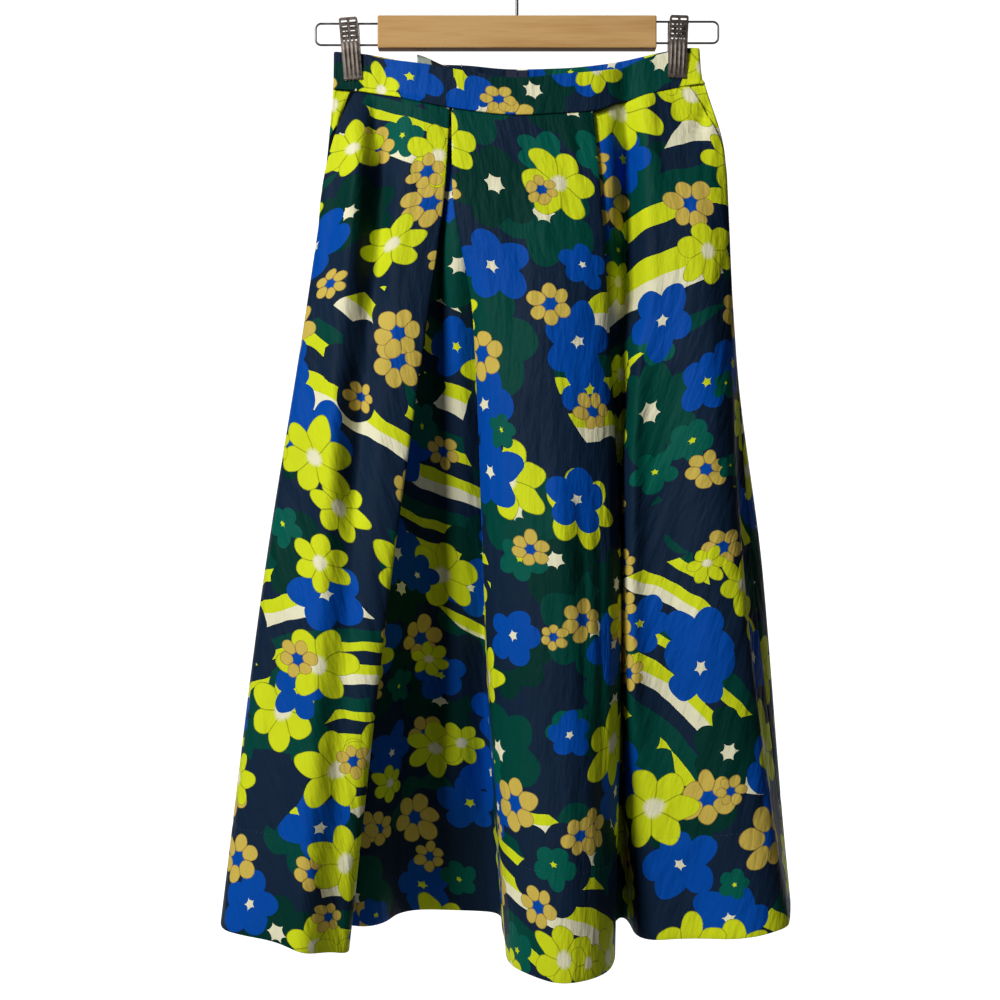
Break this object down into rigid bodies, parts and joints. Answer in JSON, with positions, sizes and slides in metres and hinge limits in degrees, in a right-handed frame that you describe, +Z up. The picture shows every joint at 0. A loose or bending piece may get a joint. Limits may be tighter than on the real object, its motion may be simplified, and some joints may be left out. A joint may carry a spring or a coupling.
{
  "type": "a-line skirt on a clip hanger",
  "caption": "Flared midi skirt of printed cotton with folded pleats, a waistband and slanted pockets, clipped to a wooden bar hanger with a wire hook.",
  "frame": {"origin": "hang point: the inside top of the hanger's hook, where a rail carries it", "axes": "+Z up, the skirt's front faces -Y, +X to the right seen from the front"},
  "size_m": [0.5379, 0.2438, 0.9395],
  "materials": {
    "printed_cotton": "smooth printed cotton with a slight sheen",
    "zip_tape_cloth": "woven zip tape",
    "label_satin": "folded satin, blank",
    "pale_wood": "clear satin varnish",
    "clip_steel": "dull pressed steel",
    "wire_steel": "drawn wire",
    "zip_metal": "painted to match the cloth"
  },
  "bodies": {
    "root": {"skirt_front": "printed_cotton", "skirt_back_left": "printed_cotton", "skirt_back_right": "printed_cotton", "waistband_front": "printed_cotton", "waistband_back_left": "printed_cotton", "waistband_back_right": "printed_cotton", "pocket_facing_left": "printed_cotton", "pocket_facing_right": "printed_cotton", "zip_tape": "zip_tape_cloth", "zip_slider": "zip_metal", "inside_label": "label_satin", "hanger_bar": "pale_wood", "hanger_hook": "wire_steel", "wire_loop_left": "wire_steel", "wire_loop_right": "wire_steel", "clip_left_front": "clip_steel", "clip_left_back": "clip_steel", "clip_left_spring": "wire_steel", "clip_right_front": "clip_steel", "clip_right_back": "clip_steel", "clip_right_spring": "wire_steel"},
    "zip_pull": {"zip_pull": "zip_metal"}
  },
  "joints": [
    {"name": "zip_pull_swing", "type": "hinge", "parent": "root", "child": "zip_pull", "pos_m": [0, 0.01687, -0.12909], "axis": [1, 0, 0], "range_deg": [0, 170]}
  ]
}
